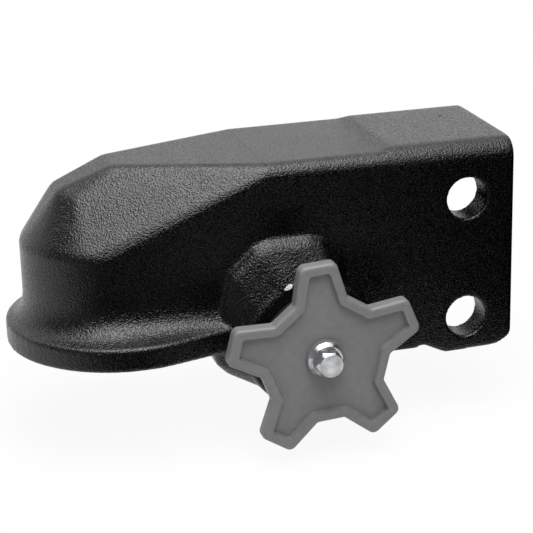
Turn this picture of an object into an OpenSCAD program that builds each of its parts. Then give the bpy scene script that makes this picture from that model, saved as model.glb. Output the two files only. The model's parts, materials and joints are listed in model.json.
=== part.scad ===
// Cast trailer coupling head for a channel mount, with a knob-operated spring latch.
// X runs from the ball to the rear, Y across, Z up. The origin is the centre of the hitch ball.

/* [Ball and nose] */
// Diameter of the hitch ball
ball_d = 58.7; // [50:0.1:60]
// Gap between ball and socket, on the radius
ball_gap = 0.6; // [0.3:0.1:1.2]
// Radius of the flange round the mouth of the socket
flange_r = 58.4; // [54:0.2:64]
// Thickness of the flange
flange_t = 12; // [9:0.5:15]
// Distance from the centre of the ball down to the underside of the flange
flange_drop = 14; // [12:0.5:18]
// Angle at which the sides of the flange close in towards the rear
flange_taper = 15.6; // [10:0.2:20]
// How far the round of the nose lies ahead of the ball
nose_lead = 8; // [4:0.5:12]
// Height of the upright side of the nose above the ball centre
skirt_top = 40; // [36:0.5:44]
// Place of the front end of the crown, along the head
crown_front = -5; // [-12:0.5:4]
// Half the width of the crown at its front end
crown_half_w = 12.5; // [9:0.5:14]
// Place of the brow, where the top bends down to the front
brow_x = -32; // [-34:0.5:-26]
// Half the width of the brow
brow_half_w = 19; // [14:0.5:22]
// Height of the brow
brow_z = 67; // [62:0.5:71]

/* [Body] */
// Width across the two side faces
body_w = 82; // [78:0.5:90]
// Height of the top face above the ball centre
top_z = 77; // [74:0.5:84]
// Place of the seam between nose and body
seam_x = 68.5; // [62:0.5:74]
// Place of the rear end
rear_x = 199; // [194:0.5:206]
// Depth of the side faces below the ball centre
side_drop = 28; // [24:0.5:32]
// Thickness of the side walls
wall_side = 16; // [13:0.5:17]
// Thickness of the top wall
wall_top = 12; // [9:0.5:15]
// Radius along the top edges
edge_r = 7; // [4:0.5:10]
// Height of the raised pad at the rear of the top face
pad_h = 1.5; // [0.5:0.1:3]
// Place of the front of the raised pad
pad_x = 131; // [120:0.5:140]
// Bow of the rear end
rear_bow = 2; // [1:0.1:4]

/* [Bolt holes] */
// Distance between the two bolt holes
hole_pitch = 63.5; // [58:0.1:66]
// Diameter of the bolt holes
hole_d = 21.4; // [17:0.1:23]
// Distance from the ball centre back to the bolt holes
hole_x = 172; // [169:0.5:176]
// Height of the point midway between the bolt holes
hole_mid_z = 18; // [16:0.5:20]
// Metal round a bolt hole
lug_wall = 8.3; // [6:0.1:10]

/* [Latch] */
// Distance from the ball centre back to the latch shaft
latch_x = 85.6; // [84:0.2:90]
// Height of the latch shaft, below the ball centre
latch_drop = 13; // [11:0.5:15]
// Diameter of the latch shaft
shaft_d = 25.4; // [22:0.1:27]
// Running gap between shaft and bushing, on the radius
shaft_gap = 0.06; // [0.03:0.01:0.1]
// Wall of the bushings
bush_wall = 3.2; // [2.6:0.1:3.6]
// How far the flange of a bushing stands out from its barrel
bush_flange_w = 4.1; // [3:0.1:5]
// Thickness of the flange of a bushing
bush_flange_t = 3; // [2:0.25:4]
// Radius of the round bosses
boss_r = 34; // [31:0.5:36]
// How far the bosses stand out from the side faces
boss_h = 12.5; // [10:0.5:15]
// How far the hub of the latch jaw stands out past its arm, on each side
hub_step = 5.6; // [4.5:0.1:8]
// Radius of the hub of the latch jaw
jaw_hub_r = 21; // [19:0.5:22]
// Gap between the closed jaw and the ball
jaw_gap = 0.5; // [0.3:0.1:1.5]
// Depth of the arm of the latch jaw
jaw_arm_h = 21; // [18:0.5:23]
// Side clearance of the jaw and of its hub
side_gap = 0.4; // [0.3:0.05:1]
// Diameter of the spring pins
pin_d = 8; // [6:0.1:8]

/* [Knob] */
// Radius from the axis to the ends of the arms
knob_r = 49; // [44:0.5:54]
// Half the width of an arm at its end
arm_half_w = 9; // [7:0.2:11]
// Radius from the axis to the notches between the arms
notch_r = 32.3; // [31:0.1:36]
// Half the width of a notch at its bottom
notch_half_w = 6.9; // [5:0.1:8]
// Thickness of the plate of the knob
knob_t = 6.5; // [5.5:0.5:9]
// Depth of the recess in the face of the knob
recess_depth = 3.2; // [2:0.2:3.6]
// Width of the rim round the recess
rim_w = 4.8; // [3.5:0.1:6]
// Turn of the knob on its shaft
knob_turn = 3.7; // [0:0.1:8]
// Length of the skirt behind the knob
knob_skirt = 15.3; // [12.5:0.1:17]
// Wall of the skirt behind the knob
knob_skirt_wall = 3.5; // [2.5:0.5:4.5]
// Gap between the skirt and the boss
knob_gap = 0.5; // [0.3:0.1:1.5]

/* [Spring and fasteners] */
// Diameter of the spring wire
wire_d = 3; // [2.5:0.1:3.2]
// Number of turns of the spring
coil_turns = 2; // [1:1:2]
// Diameter of the shank of the knob bolt
bolt_d = 9.5; // [8:0.1:10]
// Width across the flats of the bolt head
bolt_flats = 12.7; // [11:0.1:14.3]
// Diameter of the flange under the bolt head
bolt_flange_d = 18.4; // [17:0.1:22]
// Height of the bolt head above its flange
bolt_head_h = 6.4; // [5:0.1:7.5]
// Thickness of the washer and of the retaining ring
ring_t = 2; // [1.5:0.1:2.5]

/* [Hidden] */

$fn = 64;
eps = 0.01;
half_w = body_w / 2;
bush_d = shaft_d + bush_wall * 2;
bush_flange_d = bush_d + bush_flange_w * 2;
coil_r = bush_d / 2 + 2.6 + wire_d / 2;
coil_room_r = coil_r + wire_d / 2 + 1.5;
knob_skirt_r = coil_room_r + knob_skirt_wall;
cavity_half_w = half_w - wall_side;
socket_r = ball_d / 2 + ball_gap;
flange_bottom = -flange_drop;
flange_top = flange_bottom + flange_t;
fillet_h = 14;
fillet_top = flange_top + fillet_h;
boss_face = half_w + boss_h;
latch_z = -latch_drop;
hole_z = [hole_mid_z + hole_pitch / 2, hole_mid_z - hole_pitch / 2];
lug_r = hole_d / 2 + lug_wall;
cup_wall = 10.5;
cup_r = socket_r + cup_wall;
jaw_slot_top = 28;
hub_half_w = cavity_half_w - bush_flange_t - side_gap;
jaw_w = (hub_half_w - hub_step) * 2;
jaw_slot_half_w = jaw_w / 2 + side_gap + 1;
bush_bore_r = shaft_d / 2 + shaft_gap;
housing_x = 46;
pad_ramp = 6;
knob_back = boss_face + knob_gap;
knob_plate_back = knob_back + knob_skirt;
knob_face = knob_plate_back + knob_t;
knob_edge = 1.8;
recess_floor = knob_face - recess_depth;
recess_draft = 0.7;
insert_half_flats = 8;
insert_r = shaft_d / 2 + 2.3;
insert_front = recess_floor - 1;
insert_t = 8;
insert_back = insert_front - insert_t;
hub_wall = 2.2;
bolt_seat = knob_face - 0.2;
flange_seat_t = 1.8;
bolt_reach = 26;
far_end = boss_face + ring_t * 2 + 3;
ring_groove_depth = 1.2;
leg_depth = 6;
knob_leg_depth = min(1.8, knob_t - recess_depth - 1.3);
leg_gap = 0.3;

// Unit vector from one point to another
function toward(a, b) = (b - a) / norm(b - a);

// Points of an arc about a centre, from one angle to another
function arc(centre, r, from, to, steps) =
    [for (i = [0:steps]) centre + r * [cos(from + (to - from) * i / steps), sin(from + (to - from) * i / steps)]];

// Points of the round that replaces the corner at b of an outline
function corner(a, b, c, r, steps) =
    let (u = toward(b, a), v = toward(b, c), half = acos(u * v) / 2,
         m = b + (u + v) / norm(u + v) * r / sin(half),
         s = b + u * r / tan(half) - m, e = b + v * r / tan(half) - m,
         from = atan2(s.y, s.x), turn = (atan2(e.y, e.x) - from + 540) % 360 - 180)
    arc(m, r, from, from + turn, steps);

// Outline with each corner rounded to its own radius, where 0 leaves it sharp
function rounded(pts, radii, steps = 4) =
    let (n = len(pts))
    [for (i = [0:n - 1])
        let (r = is_list(radii) ? radii[i] : radii)
        each (r == 0 ? [pts[i]] : corner(pts[(i + n - 1) % n], pts[i], pts[(i + 1) % n], r, steps))];

// Plan outline with a round front and two sides that run back to x_end
function plan(centre_x, r, taper, x_end, steps = 40) =
    let (bow = arc([centre_x, 0], r, 90 - taper, 270 + taper, steps),
         first = bow[0], tail_y = first.y - (x_end - first.x) * tan(taper))
    concat([[x_end, tail_y]], bow, [[x_end, -tail_y]]);

function mix(a, b, t) = [for (i = [0:len(a) - 1]) a[i] + (b[i] - a[i]) * t];
function at_height(pts, z) = [for (p = pts) [p.x, p.y, z]];

// Faces between k rings of m points each
function side_faces(m, k) =
    [for (j = [0:k - 2]) for (i = [0:m - 1])
        let (a = j * m + i, b = j * m + (i + 1) % m)
        each [[a, a + m, b + m], [a, b + m, b]]];

// Solid between outlines that have the same number of points
module loft(rings) {
    m = len(rings[0]);
    k = len(rings);
    ends = [[for (i = [0:m - 1]) i], [for (i = [m - 1:-1:0]) (k - 1) * m + i]];
    polyhedron([for (r = rings) each r], concat(ends, side_faces(m, k)));
}

// The same for outlines round the Y axis, with each end made of triangles that meet on the axis
module loft_on_axis(rings) {
    m = len(rings[0]);
    k = len(rings);
    last = (k - 1) * m;
    tips = [for (r = [rings[0], rings[k - 1]]) [0, r[0].y, 0]];
    ends = [for (i = [0:m - 1])
        each [[i, (i + 1) % m, k * m], [last + (i + 1) % m, last + i, k * m + 1]]];
    polyhedron(concat([for (r = rings) each r], tips), concat(ends, side_faces(m, k)));
}

// Extrudes a side view drawn in X and Z between two places across the head
module across(y0, y1) {
    translate([0, y1, 0]) rotate([90, 0, 0]) linear_extrude(y1 - y0) children();
}

// Round bar along Y at a place of the side view
module bar_y(x, z, y0, y1, r, r_end = undef) {
    translate([x, y0, z]) rotate([-90, 0, 0]) cylinder(h = y1 - y0, r1 = r, r2 = is_undef(r_end) ? r : r_end);
}

module at_latch() {
    translate([latch_x, 0, latch_z]) children();
}

// Outline of the upright wall of the nose, seen from above
function skirt_outline(x_end) = plan(-nose_lead, half_w, 0, x_end);

// Flange and the fillet above it in one loft, which ends a little inside the upright wall
module nose_base() {
    x_end = housing_x + 6;
    flange = plan(0, flange_r, flange_taper, x_end);
    skirt = skirt_outline(x_end);
    fillet = [[0, 0.04], [0.04, 0.22], [0.12, 0.46], [0.25, 0.66], [0.41, 0.81], [0.61, 0.92], [0.83, 0.975],
              [1.15, 1.02]];
    loft(concat(
        [at_height(mix(flange, skirt, 0.04), flange_bottom), at_height(flange, flange_bottom + 1),
         at_height(flange, flange_top - 1)],
        [for (f = fillet) at_height(mix(flange, skirt, f[1]), flange_top + f[0] * fillet_h)]));
}

// Upright wall and faceted top of the nose, with a ball at each corner of the crown and the brow,
// given as its place and its radius
module nose_top() {
    wall_bottom = fillet_top - 2;
    soft = [[crown_front + 3.4, crown_half_w - 2.8, top_z - 7, 7],
            [brow_x + 7.6, brow_half_w / 3, brow_z - 8.3, 9],
            [brow_x + 8.5, brow_half_w - 8, brow_z - 5.6, 5],
            [brow_x + 11, brow_half_w - 4, brow_z - 6.7, 5]];
    hull() {
        translate([0, 0, wall_bottom])
            linear_extrude(skirt_top - 1.5 - wall_bottom) polygon(skirt_outline(seam_x));
        translate([0, 0, wall_bottom])
            linear_extrude(skirt_top + 1.5 - wall_bottom) polygon(plan(-nose_lead, half_w - 1.3, 0, seam_x - 1));
        loft([body_ring(seam_x - 0.5, top_z, 0, wall_bottom), body_ring(seam_x, top_z, 0, wall_bottom)]);
        for (side = [-1, 1])
            for (s = soft)
                translate([s.x, side * s.y, s.z]) sphere(s[3], $fn = 24);
    }
}

// Cross-section of the body, rounded along the top edges
function body_ring(x, top, shrink = 0, bottom = -side_drop - 6, r = edge_r) =
    let (w = half_w - shrink, t = top - shrink,
         section = rounded([[w, bottom], [w, t], [-w, t], [-w, bottom]], [0, r, r, 0], 6))
    [for (p = section) [x, p.x, p.y]];

// Outer form of the body, with the raised pad and the bowed rear end
module body_block() {
    pad_z = top_z + pad_h;
    pad_edge_r = edge_r + 2.5;
    bow_r = (half_w * half_w + rear_bow * rear_bow) / (2 * rear_bow);
    intersection() {
        loft([body_ring(seam_x, top_z), body_ring(pad_x - pad_ramp / 2, top_z),
              body_ring(pad_x + pad_ramp / 2, pad_z, r = pad_edge_r), body_ring(rear_x - 3, pad_z, r = pad_edge_r),
              body_ring(rear_x + 1, pad_z, 2.5, r = pad_edge_r)]);
        translate([rear_x - bow_r, 0, -side_drop - 10]) cylinder(h = 150, r = bow_r, $fn = 360);
        across(-half_w - 1, half_w + 1) polygon(side_outline());
    }
}

// Side view of the body: flat underside, scallop and bolt lug
function side_outline() =
    let (lug_bottom = hole_z[1] - lug_r + 0.7, front = seam_x - 25,
         scallop_x = hole_x - 23.5)
    rounded([[front, -side_drop], [scallop_x - 4, -side_drop], [scallop_x, -side_drop + 1.6],
             [hole_x - 12, lug_bottom], [rear_x + 1, lug_bottom + 0.5], [rear_x + 1, top_z + pad_h + 1],
             [front, top_z + pad_h + 1]],
            [0, 2, 3, 6, 15, 6, 0]);

// Housing that stands out from one side face ahead of and above the boss
module latch_housing() {
    foot = [[housing_x - 9, -16], [housing_x - 7, -22.5], [housing_x - 1.5, -28], [housing_x + 11, -33.5],
            [latch_x + 18, -34], [latch_x + 18, 28], [latch_x + 9, 37.5], [latch_x + 3, 39.5],
            [housing_x + 20, 39.5], [housing_x + 13.5, 37], [housing_x, 24], [housing_x - 2.5, 8]];
    middle = [latch_x - 12, 2];
    crest = [[latch_x - 13.6, 17.5], [latch_x + 12.4, 17.5], [latch_x + 27, -13], [latch_x + 14, -40],
             [latch_x - 14, -40], [latch_x - 27.5, -28], [latch_x - 30.5, -13], [latch_x - 27, 4]];
    hull() {
        for (step = [[0.5, 0], [3, 1.3], [5, 4.2]])
            across(-half_w - step[0], -cavity_half_w - 1)
                polygon([for (p = foot) middle + (p - middle) * (1 - step[1] / 36)]);
        across(-boss_face + 0.3, -half_w) polygon(crest);
    }
}

module boss() {
    at_latch() {
        bar_y(0, 0, -boss_face + 1.5, -cavity_half_w - 1, boss_r);
        bar_y(0, 0, -boss_face, -boss_face + 1.5, boss_r - 1.5, boss_r);
    }
}

// Hollow of the body, open to the rear and below, that leaves the cup of the socket standing
module cavity() {
    difference() {
        hull() {
            translate([seam_x - 20, -cavity_half_w, -90])
                cube([rear_x - seam_x + 40, cavity_half_w * 2, 90 + top_z - wall_top - 5]);
            translate([seam_x, -cavity_half_w + 5, -90])
                cube([rear_x - seam_x + 20, cavity_half_w * 2 - 10, 90 + top_z - wall_top]);
            translate([5, -9, skirt_top + 6]) cube([10, 18, top_z - wall_top - skirt_top - 8]);
        }
        sphere(cup_r);
        translate([0, 0, -80]) cylinder(h = 80, r = cup_r);
    }
}

// Room for the jaw, from the mouth of the socket back to the hollow
module jaw_slot() {
    translate([socket_r - 12, -jaw_slot_half_w, -80]) cube([cup_wall + 35, jaw_slot_half_w * 2, 80 + jaw_slot_top]);
}

// Ball socket with its flared mouth
module socket() {
    sphere(socket_r, $fn = 96);
    translate([0, 0, flange_bottom - 1]) cylinder(h = flange_drop + 1, r = socket_r, $fn = 96);
    translate([0, 0, flange_bottom - 1]) cylinder(h = 4, r1 = socket_r + 4, r2 = socket_r, $fn = 96);
}

// Ledges on the side walls that carry the closed jaw
module jaw_ledges() {
    ledge_top = latch_z - jaw_arm_h / 2;
    for (side = [0, 1]) mirror([0, side, 0])
        across(jaw_w / 2 - 4, cavity_half_w + 1)
            polygon([[housing_x, ledge_top], [housing_x, ledge_top - 5], [housing_x + 3, ledge_top - 7],
                     [housing_x + 8, ledge_top - 7], [housing_x + 8, ledge_top]]);
}

// The far wall follows its two bolt lugs and is open between them at the rear
module far_wall_relief() {
    across(0, half_w + 1)
        difference() {
            union() {
                translate([hole_x + 7, hole_z[1]]) square([rear_x - hole_x, hole_pitch]);
                translate([hole_x, hole_z[1] - lug_r - 5]) square([rear_x - hole_x + 10, lug_r + 5]);
            }
            for (z = hole_z) translate([hole_x, z]) circle(lug_r);
        }
}

module coupler_casting() {
    color([0.045, 0.045, 0.047])
        difference() {
            union() {
                difference() {
                    union() {
                        nose_base();
                        nose_top();
                        body_block();
                        for (side = [0, 1]) mirror([0, side, 0]) {
                            latch_housing();
                            boss();
                        }
                    }
                    cavity();
                    jaw_slot();
                }
                jaw_ledges();
            }
            socket();
            far_wall_relief();
            for (z = hole_z) bar_y(hole_x, z, -half_w - 1, half_w + 1, hole_d / 2);
            at_latch() {
                bar_y(0, 0, -boss_face - 1, boss_face + 1, bush_d / 2);
                bar_y(coil_r, 0, -boss_face - 1, -boss_face + leg_depth + 1, wire_d / 2 + leg_gap);
            }
        }
}

// One flanged bushing, with its flange on the inside of the wall
module bushing() {
    color([0.62, 0.50, 0.25])
        at_latch() difference() {
            union() {
                bar_y(0, 0, -boss_face, -cavity_half_w, bush_d / 2);
                bar_y(0, 0, -cavity_half_w, -cavity_half_w + bush_flange_t, bush_flange_d / 2);
            }
            bar_y(0, 0, -boss_face - 1, 0, bush_bore_r);
        }
}

module near_bushing() {
    bushing();
}

module far_bushing() {
    mirror([0, 1, 0]) bushing();
}

// Round shaft with two flats for the knob and a groove for the retaining ring
module latch_shaft() {
    color([0.55, 0.56, 0.58])
        at_latch() difference() {
            bar_y(0, 0, -insert_front, far_end, shaft_d / 2);
            for (side = [-1, 1])
                translate([-shaft_d, -insert_front - 1,
                           side > 0 ? insert_half_flats : -insert_half_flats - shaft_d])
                    cube([shaft_d * 2, insert_front - knob_back + 1, shaft_d]);
            bar_y(0, 0, -insert_front - 1, -insert_front + bolt_reach, bolt_d / 2);
            bar_y(0, 0, -insert_front - 1, -insert_front + 1, bolt_d / 2 + 1, bolt_d / 2 - 1);
            difference() {
                bar_y(0, 0, boss_face + ring_t, boss_face + ring_t * 2, shaft_d / 2 + 1);
                bar_y(0, 0, boss_face + ring_t - 1, boss_face + ring_t * 2 + 1, shaft_d / 2 - ring_groove_depth);
            }
            jaw_pin_bar(pin_d / 2, shaft_d / 2 + 1);
        }
}

// Cross pin through hub and shaft, square to the arm
module jaw_pin_bar(r, half_l) {
    translate([0, 0, -half_l]) cylinder(h = half_l * 2, r = r);
}

// Side view of the jaw: hub, arm, and the end that reaches under the ball
function jaw_outline() =
    let (top = jaw_arm_h / 2, nose = -latch_x + 20)
    rounded([[0, jaw_hub_r - 1], [-jaw_hub_r, top + 4], [-latch_x + socket_r + 12, top - 2], [nose, top - 4],
             [nose, -top + 2], [nose + 6, -top], [-jaw_hub_r - 8, -top], [0, -jaw_hub_r + 1]],
            [0, 12, 12, 0, 2, 4, 10, 0]);

module latch_jaw() {
    color([0.33, 0.34, 0.36])
        difference() {
            at_latch() difference() {
                union() {
                    across(-jaw_w / 2, jaw_w / 2) polygon(jaw_outline());
                    bar_y(0, 0, -hub_half_w, hub_half_w, jaw_hub_r);
                }
                bar_y(0, 0, -hub_half_w - 1, hub_half_w + 1, shaft_d / 2 + eps);
                jaw_pin_bar(pin_d / 2, jaw_hub_r + 1);
            }
            sphere(ball_d / 2 + jaw_gap, $fn = 96);
        }
}

module jaw_pin() {
    color([0.5, 0.5, 0.52])
        at_latch() difference() {
            jaw_pin_bar(pin_d / 2, jaw_hub_r - 0.5);
            jaw_pin_bar(pin_d / 4, jaw_hub_r + 1);
        }
}

// Points of the torsion spring: a coil with one leg to the boss and one to the knob
function spring_path() =
    let (pitch = wire_d + 0.25, start = boss_face + knob_gap + wire_d / 2 + 0.3, per = 20,
         n = coil_turns * per)
    concat(
        [[coil_r, -boss_face + leg_depth, 0]],
        [for (i = [0:n]) [coil_r * cos(i * 360 / per), -start - pitch * i / per, coil_r * sin(i * 360 / per)]],
        [[coil_r, -knob_plate_back - knob_leg_depth + leg_gap, 0]]);

module tube(path, r, sides = 8) {
    n = len(path);
    rings = [for (i = [0:n - 1])
        let (d = toward(path[max(i - 1, 0)], path[min(i + 1, n - 1)]),
             u = cross(d, abs(d.y) > 0.9 ? [1, 0, 0] : [0, 1, 0]), a = u / norm(u), b = cross(d, a))
        [for (s = [0:sides - 1]) path[i] + r * (cos(s * 360 / sides) * a + sin(s * 360 / sides) * b)]];
    loft(rings);
}

module latch_spring() {
    color([0.35, 0.35, 0.37]) at_latch() tube(spring_path(), wire_d / 2);
}

// Outline of the star from its five arms and five notches, drawn in by a distance
function star(inset, round_tip, round_low, steps = 4) =
    let (tip_r = knob_r - inset, tip_w = arm_half_w - 0.8 * inset,
         low_r = notch_r - inset, low_w = notch_half_w + 0.35 * inset)
    rounded([for (k = [0:4])
                 let (arm = 90 + knob_turn - k * 72, gap = arm - 36)
                 each [tip_r * [cos(arm), sin(arm)] + tip_w * [cos(arm + 90), sin(arm + 90)],
                       tip_r * [cos(arm), sin(arm)] - tip_w * [cos(arm + 90), sin(arm + 90)],
                       low_r * [cos(gap), sin(gap)] + low_w * [cos(gap + 90), sin(gap + 90)],
                       low_r * [cos(gap), sin(gap)] - low_w * [cos(gap + 90), sin(gap + 90)]]],
            [for (i = [0:19]) i % 4 < 2 ? round_tip : round_low], steps);

// Outline drawn in X and Z, set at a place across the head
function at_depth(pts, y) = [for (p = pts) [p.x, y, p.y]];

// Plate of the knob, with a round along its front edge
module star_plate() {
    loft_on_axis(concat(
        [for (a = [90:-30:0])
            let (inset = knob_edge * (1 - cos(a)))
            at_depth(star(inset, 3.5 - inset * 0.4, 2.5), -knob_face + knob_edge * (1 - sin(a)))],
        [at_depth(star(0, 3.5, 2.5), -knob_plate_back)]));
}

// Recess in the face of the knob, narrower at its floor
module star_recess() {
    loft_on_axis([at_depth(star(rim_w, 1.6, 2.5, 2), -knob_face - 1),
                  at_depth(star(rim_w, 1.6, 2.5, 2), -knob_face),
                  at_depth(star(rim_w + recess_draft, 1.6, 2.5, 2), -recess_floor)]);
}

module star_knob() {
    color([0.36, 0.36, 0.37])
        at_latch() difference() {
            union() {
                difference() {
                    union() {
                        star_plate();
                        bar_y(0, 0, -knob_plate_back - 1, -knob_back, knob_skirt_r);
                    }
                    star_recess();
                    bar_y(0, 0, -knob_plate_back, -knob_back + 1, coil_room_r);
                }
                bar_y(0, 0, -recess_floor + 0.5, -insert_back, insert_r + hub_wall);
                bar_y(0, 0, -bolt_seat, -recess_floor + 0.5, bolt_flange_d / 2 + 0.5);
            }
            bar_y(0, 0, -insert_front, -knob_back, insert_r);
            bar_y(coil_r, 0, -knob_plate_back - knob_leg_depth, -knob_plate_back + 1, wire_d / 2 + leg_gap);
            bar_y(0, 0, -knob_face - 1, -insert_front + 1, bolt_d / 2 + 0.3);
        }
}

// Steel insert that drives the shaft by its flats
module knob_insert() {
    color([0.6, 0.6, 0.6])
        at_latch() difference() {
            bar_y(0, 0, -insert_front, -insert_back, insert_r);
            intersection() {
                bar_y(0, 0, -insert_front - 1, -knob_back, shaft_d / 2 + 0.05);
                translate([-insert_r, -insert_front - 1, -insert_half_flats - 0.05])
                    cube([insert_r * 2, insert_front, insert_half_flats * 2 + 0.1]);
            }
        }
}

// Hexagon flange bolt that holds the knob on the shaft
module knob_bolt() {
    color([0.78, 0.79, 0.8])
        at_latch() {
            bar_y(0, 0, -bolt_seat, -insert_front + bolt_reach - 2, bolt_d / 2 - 0.05);
            bar_y(0, 0, -bolt_seat - flange_seat_t, -bolt_seat, bolt_flats / 2 + 1.4, bolt_flange_d / 2);
            intersection() {
                translate([0, -bolt_seat - flange_seat_t + eps, 0]) rotate([90, 0, 0])
                    cylinder(h = bolt_head_h, r = bolt_flats / sqrt(3), $fn = 6);
                bar_y(0, 0, -bolt_seat - flange_seat_t - bolt_head_h, -bolt_seat,
                      bolt_flats / 2 - 0.55, bolt_flats / 2 + 5);
            }
        }
}

module far_washer() {
    color([0.6, 0.6, 0.62])
        at_latch() difference() {
            bar_y(0, 0, boss_face, boss_face + ring_t, bush_d / 2 + 4);
            bar_y(0, 0, boss_face - 1, boss_face + ring_t + 1, shaft_d / 2 + 0.3);
        }
}

// Open ring that sits in the groove of the shaft
module retaining_ring() {
    color([0.25, 0.25, 0.26])
        at_latch() difference() {
            bar_y(0, 0, boss_face + ring_t, boss_face + ring_t * 2, shaft_d / 2 + 3);
            bar_y(0, 0, boss_face, boss_face + ring_t * 3, shaft_d / 2 - ring_groove_depth + 0.05);
            translate([-3.5, boss_face, 0]) cube([7, ring_t * 3, 30]);
        }
}

coupler_casting();
near_bushing();
far_bushing();
latch_shaft();
latch_jaw();
jaw_pin();
latch_spring();
star_knob();
knob_insert();
knob_bolt();
far_washer();
retaining_ring();
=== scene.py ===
import json
import math

import bpy
import numpy as np
from mathutils import Matrix, Vector

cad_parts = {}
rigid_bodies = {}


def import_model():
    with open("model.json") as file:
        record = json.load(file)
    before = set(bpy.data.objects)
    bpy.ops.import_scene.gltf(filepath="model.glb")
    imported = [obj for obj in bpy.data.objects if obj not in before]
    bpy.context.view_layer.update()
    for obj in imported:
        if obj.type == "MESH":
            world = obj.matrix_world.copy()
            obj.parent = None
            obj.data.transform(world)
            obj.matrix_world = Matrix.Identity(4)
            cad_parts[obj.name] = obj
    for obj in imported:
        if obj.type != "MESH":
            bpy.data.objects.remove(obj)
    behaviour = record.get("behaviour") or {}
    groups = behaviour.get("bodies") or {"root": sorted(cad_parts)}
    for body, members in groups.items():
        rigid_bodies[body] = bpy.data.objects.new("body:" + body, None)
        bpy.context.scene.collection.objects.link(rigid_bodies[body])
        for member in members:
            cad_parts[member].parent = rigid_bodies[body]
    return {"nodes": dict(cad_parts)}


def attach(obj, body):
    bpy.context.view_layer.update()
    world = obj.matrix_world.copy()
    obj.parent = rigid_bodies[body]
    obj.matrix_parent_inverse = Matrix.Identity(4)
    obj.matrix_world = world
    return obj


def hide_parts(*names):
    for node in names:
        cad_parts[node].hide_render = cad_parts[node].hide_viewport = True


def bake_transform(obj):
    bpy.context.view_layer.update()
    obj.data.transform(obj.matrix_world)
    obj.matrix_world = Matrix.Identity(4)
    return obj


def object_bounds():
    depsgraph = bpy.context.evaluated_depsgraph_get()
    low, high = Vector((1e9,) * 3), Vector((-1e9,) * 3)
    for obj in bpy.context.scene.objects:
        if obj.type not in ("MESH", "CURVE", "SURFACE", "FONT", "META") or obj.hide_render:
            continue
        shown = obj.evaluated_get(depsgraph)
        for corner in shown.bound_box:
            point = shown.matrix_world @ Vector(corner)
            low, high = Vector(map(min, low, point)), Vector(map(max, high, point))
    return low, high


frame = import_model()
cadNodes = frame["nodes"]
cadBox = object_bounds()
scene = bpy.context.scene


# Helpers for materials

def newGroup(name, inputs, outputs):
    tree = bpy.data.node_groups.new(name, "ShaderNodeTree")
    for socketName, kind, value in inputs:
        socket = tree.interface.new_socket(name=socketName, in_out="INPUT", socket_type=kind)
        if value is not None:
            socket.default_value = value
    for socketName, kind in outputs:
        tree.interface.new_socket(name=socketName, in_out="OUTPUT", socket_type=kind)
    return tree, tree.nodes.new("NodeGroupInput"), tree.nodes.new("NodeGroupOutput")


def addNode(tree, kind, settings=None, values=None):
    node = tree.nodes.new(kind)
    for key, value in (settings or {}).items():
        setattr(node, key, value)
    for key, value in (values or {}).items():
        node.inputs[key].default_value = value
    return node


def mathNode(tree, operation, a, b=None, clamp=False):
    node = addNode(tree, "ShaderNodeMath", {"operation": operation, "use_clamp": clamp})
    for index, value in enumerate((a, b)):
        if value is None:
            continue
        if isinstance(value, (int, float)):
            node.inputs[index].default_value = value
        else:
            tree.links.new(value, node.inputs[index])
    return node.outputs[0]


def noiseAt(tree, vector, scale, detail=2.0, rough=0.5):
    node = addNode(tree, "ShaderNodeTexNoise", values={"Detail": detail, "Roughness": rough})
    tree.links.new(vector, node.inputs["Vector"])
    if isinstance(scale, (int, float)):
        node.inputs["Scale"].default_value = scale
    else:
        tree.links.new(scale, node.inputs["Scale"])
    return node.outputs["Fac"]


def mapRange(tree, value, low, high, outLow=0.0, outHigh=1.0):
    node = addNode(tree, "ShaderNodeMapRange", values={
        "From Min": low, "From Max": high, "To Min": outLow, "To Max": outHigh})
    tree.links.new(value, node.inputs["Value"])
    return node.outputs["Result"]


def mixColor(tree, factor, a, b):
    node = addNode(tree, "ShaderNodeMix", {"data_type": "RGBA"})
    tree.links.new(factor, node.inputs[0])
    for socket, value in ((node.inputs[6], a), (node.inputs[7], b)):
        if isinstance(value, (tuple, list)):
            socket.default_value = (*value[:3], 1.0)
        else:
            tree.links.new(value, socket)
    return node.outputs[2]


# Each range gives where a mask starts and where it is full, in the noise it is read from
grainSettings = {
    "fineScale": 1.7,
    "swellScale": 0.2,
    "patchScale": 0.05,
    "peaks": (0.55, 0.72),
    "pits": (0.5, 0.4),
    "patches": (0.35, 0.65),
}


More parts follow.
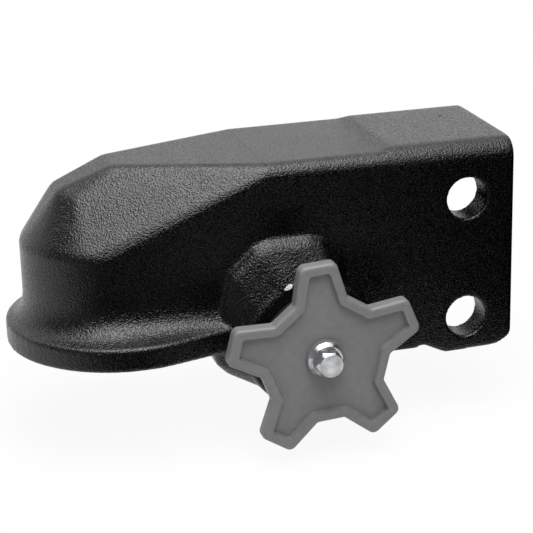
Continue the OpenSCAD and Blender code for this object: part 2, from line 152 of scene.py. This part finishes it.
# Grain of a painted sand-cast skin: Height is the relief, Peaks masks its tops, Pits its small matt
# hollows, and Patches wide areas that are a little rougher
def makeCastGrain():
    values = grainSettings
    tree, source, sink = newGroup(
        "castGrain",
        [("Vector", "NodeSocketVector", None), ("Grain", "NodeSocketFloat", 900.0),
         ("Fine", "NodeSocketFloat", 0.5), ("Swell", "NodeSocketFloat", 0.6)],
        [("Height", "NodeSocketFloat"), ("Peaks", "NodeSocketFloat"), ("Pits", "NodeSocketFloat"),
         ("Patches", "NodeSocketFloat")])
    vector = source.outputs["Vector"]
    grainScale = source.outputs["Grain"]
    coarse = noiseAt(tree, vector, grainScale, 1.0, 0.5)
    fineScale = mathNode(tree, "MULTIPLY", grainScale, values["fineScale"])
    fine = noiseAt(tree, vector, fineScale, 0.0, 0.5)
    swellScale = mathNode(tree, "MULTIPLY", grainScale, values["swellScale"])
    swell = noiseAt(tree, vector, swellScale, 1.0, 0.5)
    patchScale = mathNode(tree, "MULTIPLY", grainScale, values["patchScale"])
    patches = noiseAt(tree, vector, patchScale, 3.0, 0.6)
    height = mathNode(tree, "ADD", coarse, mathNode(tree, "MULTIPLY", fine, source.outputs["Fine"]))
    height = mathNode(tree, "ADD", height, mathNode(tree, "MULTIPLY", swell, source.outputs["Swell"]))
    tree.links.new(height, sink.inputs["Height"])
    tree.links.new(mapRange(tree, coarse, *values["peaks"]), sink.inputs["Peaks"])
    tree.links.new(mapRange(tree, fine, *values["pits"]), sink.inputs["Pits"])
    tree.links.new(mapRange(tree, patches, *values["patches"]), sink.inputs["Patches"])
    return tree


smudgeSettings = {
    "scale": 0.12,
    "range": (0.35, 0.7),
}


# Marks of tool or die on bare metal and plastic: fine scratches along one axis, and smudges
def makeFineMarks():
    tree, source, sink = newGroup(
        "fineMarks",
        [("Vector", "NodeSocketVector", None), ("Stretch", "NodeSocketVector", (1.0, 1.0, 1.0)),
         ("Scale", "NodeSocketFloat", 900.0)],
        [("Height", "NodeSocketFloat"), ("Smudge", "NodeSocketFloat")])
    scaled = addNode(tree, "ShaderNodeVectorMath", {"operation": "MULTIPLY"})
    tree.links.new(source.outputs["Vector"], scaled.inputs[0])
    tree.links.new(source.outputs["Stretch"], scaled.inputs[1])
    lines = noiseAt(tree, scaled.outputs[0], source.outputs["Scale"], 2.0, 0.6)
    smudgeScale = mathNode(tree, "MULTIPLY", source.outputs["Scale"], smudgeSettings["scale"])
    smudge = noiseAt(tree, source.outputs["Vector"], smudgeScale, 3.0)
    tree.links.new(lines, sink.inputs["Height"])
    tree.links.new(mapRange(tree, smudge, *smudgeSettings["range"]), sink.inputs["Smudge"])
    return tree


castGrain = makeCastGrain()
fineMarks = makeFineMarks()


def newMaterial(name, values):
    material = bpy.data.materials.new(name)
    material.use_nodes = True
    tree = material.node_tree
    shader = tree.nodes["Principled BSDF"]
    for key, value in values.items():
        shader.inputs[key].default_value = value
    place = addNode(tree, "ShaderNodeTexCoord").outputs["Object"]
    return material, tree, shader, place


def addGroup(tree, group, vector, values):
    node = addNode(tree, "ShaderNodeGroup", {"node_tree": group}, values)
    tree.links.new(vector, node.inputs["Vector"])
    return node


def addBump(tree, shader, height, strength, distance):
    bump = addNode(tree, "ShaderNodeBump", values={"Strength": strength, "Distance": distance})
    tree.links.new(height, bump.inputs["Height"])
    tree.links.new(bump.outputs["Normal"], shader.inputs["Normal"])


paintSettings = {
    "dark": (0.0005, 0.0005, 0.0005),
    "light": (0.0015, 0.0015, 0.0015),
    "grain": 1000.0,
    "fine": 0.6,
    "swell": 0.25,
    "bumpStrength": 1.0,
    "bumpDistance": 0.00033,
    "roughLow": 0.13,
    "roughHigh": 0.18,
    "pitRough": 0.4,
}

# Marks on the paint: a pale spot painted on the near boss as a glint, and a blowhole and a raised seam
# on top
paintMarks = {
    "glintPlace": (0.0738, -0.0528, 0.0183),
    "glintTurn": (0.0, -0.42, 0.0),
    "glintSize": (0.0024, 0.0040, 0.0012),
    "glintColor": (0.72, 0.72, 0.71),
    "glintRough": 0.4,
    "holePlace": (0.1781, 0.0141, 0.0785),
    "holeSize": (0.0013, 0.0010, 0.0020),
    "holeRough": 0.9,
    "seamX": 0.0685,
    "seamWidth": 0.0005,
    "seamLow": 0.0762,
    "seamHeight": 1.2,
    "spotRagged": 0.9,
    "spotEdge": (1.5, 1.3),
}


# Mask of an oval spot with a ragged edge, 1 inside
def ovalSpot(tree, place, ragged, centre, turn, size):
    local = addNode(tree, "ShaderNodeMapping", {"vector_type": "TEXTURE"}, {
        "Location": centre, "Rotation": turn, "Scale": size})
    tree.links.new(place, local.inputs["Vector"])
    length = addNode(tree, "ShaderNodeVectorMath", {"operation": "LENGTH"})
    tree.links.new(local.outputs[0], length.inputs[0])
    wander = mathNode(tree, "MULTIPLY", ragged, paintMarks["spotRagged"])
    edge = mathNode(tree, "ADD", length.outputs["Value"], wander)
    return mapRange(tree, edge, *paintMarks["spotEdge"])


# Mask of the fine seam across the top, 1 in its middle
def seamLine(tree, place):
    values = paintMarks
    split = addNode(tree, "ShaderNodeSeparateXYZ")
    tree.links.new(place, split.inputs[0])
    away = mathNode(tree, "ABSOLUTE", mathNode(tree, "SUBTRACT", split.outputs["X"], values["seamX"]))
    line = mapRange(tree, away, values["seamWidth"], 0.0)
    onTop = mathNode(tree, "GREATER_THAN", split.outputs["Z"], values["seamLow"])
    return mathNode(tree, "MULTIPLY", line, onTop)


def mixFloat(tree, factor, a, b):
    node = addNode(tree, "ShaderNodeMix", values={"B": b})
    tree.links.new(factor, node.inputs["Factor"])
    tree.links.new(a, node.inputs["A"])
    return node.outputs["Result"]


def makeBlackPaint():
    values, marks = paintSettings, paintMarks
    material, tree, shader, place = newMaterial("blackPaint", {"Specular IOR Level": 0.5})
    grain = addGroup(tree, castGrain, place, {
        "Grain": values["grain"], "Fine": values["fine"], "Swell": values["swell"]})
    ragged = noiseAt(tree, place, values["grain"], 2.0)
    # Painted glint: a pale spot on the near boss
    glintSpot = ovalSpot(tree, place, ragged, marks["glintPlace"], marks["glintTurn"], marks["glintSize"])
    hole = ovalSpot(tree, place, ragged, marks["holePlace"], (0.0, 0.0, 0.0), marks["holeSize"])
    color = mixColor(tree, grain.outputs["Peaks"], values["dark"], values["light"])
    # The pale colour of the painted glint
    color = mixColor(tree, glintSpot, color, marks["glintColor"])
    tree.links.new(color, shader.inputs["Base Color"])
    rough = mapRange(tree, grain.outputs["Patches"], 0.0, 1.0, values["roughLow"], values["roughHigh"])
    rough = mixFloat(tree, grain.outputs["Pits"], rough, values["pitRough"])
    rough = mixFloat(tree, glintSpot, rough, marks["glintRough"])
    tree.links.new(mixFloat(tree, hole, rough, marks["holeRough"]), shader.inputs["Roughness"])
    seam = mathNode(tree, "MULTIPLY", seamLine(tree, place), marks["seamHeight"])
    marked = mathNode(tree, "SUBTRACT", seam, hole)
    height = mathNode(tree, "ADD", grain.outputs["Height"], marked)
    addBump(tree, shader, height, values["bumpStrength"], values["bumpDistance"])
    return material


# Finishes of the other pieces, each with the slot it fills; stretch and scale are of its marks
finishes = {
    "knobPlastic": {
        "slot": "knob_plastic",
        "color": (0.165, 0.165, 0.165),
        "worn": (0.185, 0.185, 0.185),
        "metallic": 0.0,
        "rough": (0.42, 0.55),
        "stretch": (1.0, 1.0, 1.0),
        "scale": 2200.0,
        "depth": 0.00006,
    },
    "zincPlate": {
        "slot": "zinc_steel",
        "color": (0.78, 0.79, 0.80),
        "worn": (0.62, 0.63, 0.66),
        "metallic": 1.0,
        "rough": (0.16, 0.32),
        "stretch": (1.0, 1.0, 1.0),
        "scale": 1200.0,
        "depth": 0.00004,
    },
    "groundSteel": {
        "slot": "shaft_steel",
        "color": (0.52, 0.52, 0.53),
        "worn": (0.42, 0.41, 0.40),
        "metallic": 1.0,
        "rough": (0.22, 0.38),
        "stretch": (6.0, 0.4, 6.0),
        "scale": 1500.0,
        "depth": 0.00003,
    },
    "jawSteel": {
        "slot": "jaw_steel",
        "color": (0.30, 0.30, 0.305),
        "worn": (0.20, 0.19, 0.18),
        "metallic": 0.85,
        "rough": (0.38, 0.6),
        "stretch": (1.0, 1.0, 1.0),
        "scale": 700.0,
        "depth": 0.0002,
    },
    "bearingBronze": {
        "slot": "bronze",
        "color": (0.58, 0.42, 0.19),
        "worn": (0.42, 0.28, 0.12),
        "metallic": 1.0,
        "rough": (0.28, 0.45),
        "stretch": (4.0, 0.5, 4.0),
        "scale": 1500.0,
        "depth": 0.00003,
    },
    "oiledSteel": {
        "slot": "spring_steel",
        "color": (0.11, 0.11, 0.115),
        "worn": (0.07, 0.065, 0.06),
        "metallic": 0.9,
        "rough": (0.3, 0.5),
        "stretch": (1.0, 1.0, 1.0),
        "scale": 1200.0,
        "depth": 0.00004,
    },
}
markStrength = 0.5

# Painted shade: the skirt behind the plate of the knob is coloured black, from this place along Y
skirtShadeSettings = {"color": (0.006, 0.006, 0.006), "from": -0.0690, "to": -0.0686}


# Painted shade: turns the knob's skirt behind its plate black
def addPaintedSkirtShade(tree, place, color):
    split = addNode(tree, "ShaderNodeSeparateXYZ")
    tree.links.new(place, split.inputs[0])
    behind = mapRange(tree, split.outputs["Y"], skirtShadeSettings["from"], skirtShadeSettings["to"])
    return mixColor(tree, behind, color, skirtShadeSettings["color"])


def makeFinish(name):
    values = finishes[name]
    material, tree, shader, place = newMaterial(name, {"Metallic": values["metallic"]})
    marks = addGroup(tree, fineMarks, place, {"Stretch": values["stretch"], "Scale": values["scale"]})
    shade = mixColor(tree, marks.outputs["Smudge"], values["color"], values["worn"])
    # The knob gets painted shade on its skirt behind the plate
    if name == "knobPlastic":
        shade = addPaintedSkirtShade(tree, place, shade)
    tree.links.new(shade, shader.inputs["Base Color"])
    rough = mapRange(tree, marks.outputs["Smudge"], 0.0, 1.0, *values["rough"])
    tree.links.new(rough, shader.inputs["Roughness"])
    addBump(tree, shader, marks.outputs["Height"], markStrength, values["depth"])
    return material


blackPaint = makeBlackPaint()
materials = {name: makeFinish(name) for name in finishes}
print("materials:", 1 + len(materials))


# The cast head: the solid remeshed, so that all its edges get the soft rounds of a casting
castSettings = {
    "voxel": 0.0011,
    "passes": 4,
    "factor": 0.5,
}


def makeCastBody():
    values = castSettings
    source = cadNodes["coupler_casting"]
    body = bpy.data.objects.new("castBody", source.data.copy())
    scene.collection.objects.link(body)
    remesh = body.modifiers.new("remesh", "REMESH")
    remesh.mode = "VOXEL"
    remesh.voxel_size = values["voxel"]
    smooth = body.modifiers.new("soften", "SMOOTH")
    smooth.factor = values["factor"]
    smooth.iterations = values["passes"]
    bpy.context.view_layer.update()
    depsgraph = bpy.context.evaluated_depsgraph_get()
    mesh = bpy.data.meshes.new_from_object(body.evaluated_get(depsgraph))
    body.modifiers.clear()
    body.data = mesh
    mesh.materials.clear()
    mesh.materials.append(blackPaint)
    mesh.polygons.foreach_set("use_smooth", np.ones(len(mesh.polygons), bool))
    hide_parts("coupler_casting")
    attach(body, "head")
    print("cast body:", len(mesh.polygons), "faces")


makeCastBody()


# The other pieces: finish, and width of the small bevel on the edges
dressed = {
    "near_bushing": ("bearingBronze", 0.0004),
    "far_bushing": ("bearingBronze", 0.0004),
    "latch_shaft": ("groundSteel", 0.0003),
    "latch_jaw": ("jawSteel", 0.0008),
    "jaw_pin": ("groundSteel", 0.0003),
    "latch_spring": ("oiledSteel", 0.0),
    "star_knob": ("knobPlastic", 0.0007),
    "knob_insert": ("zincPlate", 0.0002),
    "knob_bolt": ("zincPlate", 0.0003),
    "far_washer": ("zincPlate", 0.0002),
    "retaining_ring": ("oiledSteel", 0.0002),
}
edgeSettings = {
    "sharpAngle": math.radians(32),
    "bevelAngle": math.radians(38),
    "bevelSegments": 2,
}


def dressPiece(piece, name):
    finish, edge = dressed[name]
    piece.data.materials.clear()
    piece.data.materials.append(materials[finish])
    piece.data.polygons.foreach_set("use_smooth", np.ones(len(piece.data.polygons), bool))
    piece.data.set_sharp_from_angle(angle=edgeSettings["sharpAngle"])
    if edge:
        bevel = piece.modifiers.new("edge", "BEVEL")
        bevel.width = edge
        bevel.segments = edgeSettings["bevelSegments"]
        bevel.limit_method = "ANGLE"
        bevel.angle_limit = edgeSettings["bevelAngle"]
        bevel.harden_normals = True


for nodeName in dressed:
    if nodeName != "latch_spring":
        dressPiece(cadNodes[nodeName], nodeName)
print("dressed:", len(dressed) - 1, "CAD pieces")


def makeSpring():
    spring = bpy.data.objects.new("windingSpring", cadNodes["latch_spring"].data.copy())
    scene.collection.objects.link(spring)
    dressPiece(spring, "latch_spring")
    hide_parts("latch_spring")
    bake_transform(spring)
    print("spring:", len(spring.data.vertices), "points")


makeSpring()


# Studio: pale floor, soft light from above, white behind. Each box has the middles of its front and
# back edges, its width and its power. Places of the cloth and the card are along X, then along Y
studio = {
    "floorPlace": (0.075, 0.0, -0.066),
    "floorRadius": 3.0,
    "floorSteps": 96,
    "floorColor": (0.82, 0.82, 0.82),
    "floorRough": 0.9,
    "floorGlow": (0.93, 1.0),
    "glowFade": (0.1, 0.45),
    "wideBox": ((0.03, -0.96, 0.7), (0.03, 0.25, 0.85), 0.74, 7.0),
    "keyBox": ((0.03, -0.72, 0.72), (0.03, 0.12, 0.84), 0.44, 4.9),
    "ambient": 0.2,
    "clothLift": 0.002,
    "clothMargin": 0.02,
    "clothDark": (0.008, 0.008, 0.008),
    "clothPale": (0.3, 0.3, 0.3),
    "clothFade": (-0.4, 0.0),
    "clothNear": (-0.07, -0.09),
    "clothLeft": -1.0,
    "clothFront": -1.15,
    "clothRight": 1.3,
    "clothLeftEdge": -0.45,
    "clothRightEdge": 0.6,
    "frontTop": 0.6,
    "sideTop": 1.3,
    "cardLift": 0.004,
    "cardColor": (0.6, 0.6, 0.6),
    "cardFrom": (0.06, -0.27),
    "cardTo": (0.18, -0.17),
}


# Soft box over the object, spanned between the middles of its front and back edges
def addSoftBox(name, front, back, width, power):
    front, back = Vector(front), Vector(back)
    light = bpy.data.lights.new(name, "AREA")
    light.shape = "RECTANGLE"
    light.size, light.size_y = width, (back - front).length
    light.energy = power
    lamp = bpy.data.objects.new(name, light)
    lamp.location = (front + back) / 2
    along = (back - front).normalized()
    across = Vector((1.0, 0.0, 0.0))
    turn = Matrix([across, along, across.cross(along)]).transposed()
    lamp.rotation_euler = turn.to_euler()
    scene.collection.objects.link(lamp)


# Mask of the rays that see the plain white: camera, glossy and transmission
def seenRays(tree):
    rays = addNode(tree, "ShaderNodeLightPath")
    total = mathNode(tree, "ADD", rays.outputs["Is Camera Ray"], rays.outputs["Is Glossy Ray"])
    return mathNode(tree, "ADD", total, rays.outputs["Is Transmission Ray"], clamp=True)


def makeFloor():
    mesh = bpy.data.meshes.new("floor")
    steps, radius = studio["floorSteps"], studio["floorRadius"]
    ring = [(radius * math.cos(math.tau * i / steps), radius * math.sin(math.tau * i / steps), 0.0)
            for i in range(steps)]
    mesh.from_pydata(ring, [], [tuple(range(steps))])
    floor = bpy.data.objects.new("floor", mesh)
    floor.location = studio["floorPlace"]
    scene.collection.objects.link(floor)
    material, tree, shader, place = newMaterial("paleFloor", {
        "Base Color": (*studio["floorColor"], 1.0), "Roughness": studio["floorRough"],
        "Specular IOR Level": 0.1})
    glow = addNode(tree, "ShaderNodeEmission", values={"Color": (1.0, 1.0, 1.0, 1.0), "Strength": 1.0})
    distance = addNode(tree, "ShaderNodeVectorMath", {"operation": "LENGTH"})
    tree.links.new(place, distance.inputs[0])
    far = mapRange(tree, distance.outputs["Value"], *studio["glowFade"], *studio["floorGlow"])
    share = mathNode(tree, "MULTIPLY", seenRays(tree), far)
    blend = addNode(tree, "ShaderNodeMixShader")
    tree.links.new(share, blend.inputs[0])
    tree.links.new(shader.outputs[0], blend.inputs[1])
    tree.links.new(glow.outputs[0], blend.inputs[2])
    tree.links.new(blend.outputs[0], tree.nodes["Material Output"].inputs["Surface"])
    mesh.materials.append(material)


# A stage mesh that only reflections see
def addReflected(name, corners, faces):
    mesh = bpy.data.meshes.new(name)
    mesh.from_pydata(corners, [], faces)
    piece = bpy.data.objects.new(name, mesh)
    for ray in ("camera", "diffuse", "shadow"):
        setattr(piece, "visible_" + ray, False)
    scene.collection.objects.link(piece)
    material, tree, shader, place = newMaterial(name, {"Roughness": 1.0, "Specular IOR Level": 0.0})
    mesh.materials.append(material)
    return tree, shader, place


# Dark cloth ahead of the object and at its sides, paler towards the left
def makeCloth():
    z = studio["floorPlace"][2] + studio["clothLift"]
    nearX, nearY = studio["clothNear"]
    left, right, front = studio["clothLeft"], studio["clothRight"], studio["clothFront"]
    leftEdge, rightEdge = studio["clothLeftEdge"], studio["clothRightEdge"]
    frontTop, sideTop = studio["frontTop"], studio["sideTop"]
    clearX = cadBox[1][0] + studio["clothMargin"]
    corners = [(nearX, nearY, z), (left, leftEdge, z), (left, front, z), (right, front, z),
               (right, nearY, z), (clearX, nearY, z), (clearX, rightEdge, z), (right, rightEdge, z),
               (left, front, frontTop), (right, front, frontTop),
               (left, front, sideTop), (left, -leftEdge / 2, sideTop), (left, -leftEdge / 2, z),
               (right, front, sideTop), (right, rightEdge, sideTop)]
    faces = [(0, 1, 2, 3, 4, 5), (5, 4, 7, 6), (2, 3, 9, 8), (2, 10, 11, 12), (3, 7, 14, 13)]
    tree, shader, place = addReflected("cloth", corners, faces)
    split = addNode(tree, "ShaderNodeSeparateXYZ")
    tree.links.new(place, split.inputs[0])
    fade = mapRange(tree, split.outputs["X"], *studio["clothFade"])
    color = mixColor(tree, fade, studio["clothPale"], studio["clothDark"])
    tree.links.new(color, shader.inputs["Base Color"])


# Small pale card on the cloth, which brightens the bolt head
def makeCard():
    z = studio["floorPlace"][2] + studio["cardLift"]
    fromX, fromY = studio["cardFrom"]
    toX, toY = studio["cardTo"]
    corners = [(fromX, fromY, z), (toX, fromY, z), (toX, toY, z), (fromX, toY, z)]
    tree, shader, place = addReflected("card", corners, [(0, 1, 2, 3)])
    shader.inputs["Base Color"].default_value = (*studio["cardColor"], 1.0)


def makeWorld():
    world = bpy.data.worlds.new("studioWorld")
    world.use_nodes = True
    scene.world = world
    tree = world.node_tree
    background = tree.nodes["Background"]
    strength = mapRange(tree, seenRays(tree), 0.0, 1.0, studio["ambient"], 1.0)
    tree.links.new(strength, background.inputs["Strength"])
    background.inputs["Color"].default_value = (1.0, 1.0, 1.0, 1.0)


makeFloor()
makeCloth()
makeCard()
makeWorld()
for boxName in ("wideBox", "keyBox"):
    addSoftBox(boxName, *studio[boxName])
print("studio ready")


# Camera at the photograph's viewing angle
cameraSettings = {
    "lens": 120.72,
    "place": (-0.15413, -0.842072, 0.316563),
    "right": (0.961573, -0.273403, -0.025078),
    "up": (0.113056, 0.311068, 0.943639),
    "back": (-0.250193, -0.910213, 0.330024),
}


def makeCamera():
    data = bpy.data.cameras.new("camera")
    data.sensor_width = 36.0
    data.lens = cameraSettings["lens"]
    data.clip_start = 0.01
    camera = bpy.data.objects.new("camera", data)
    turn = Matrix([cameraSettings["right"], cameraSettings["up"], cameraSettings["back"]]).transposed()
    camera.matrix_world = Matrix.Translation(cameraSettings["place"]) @ turn.to_4x4()
    scene.collection.objects.link(camera)
    scene.camera = camera


makeCamera()
scene.view_settings.view_transform = "Standard"
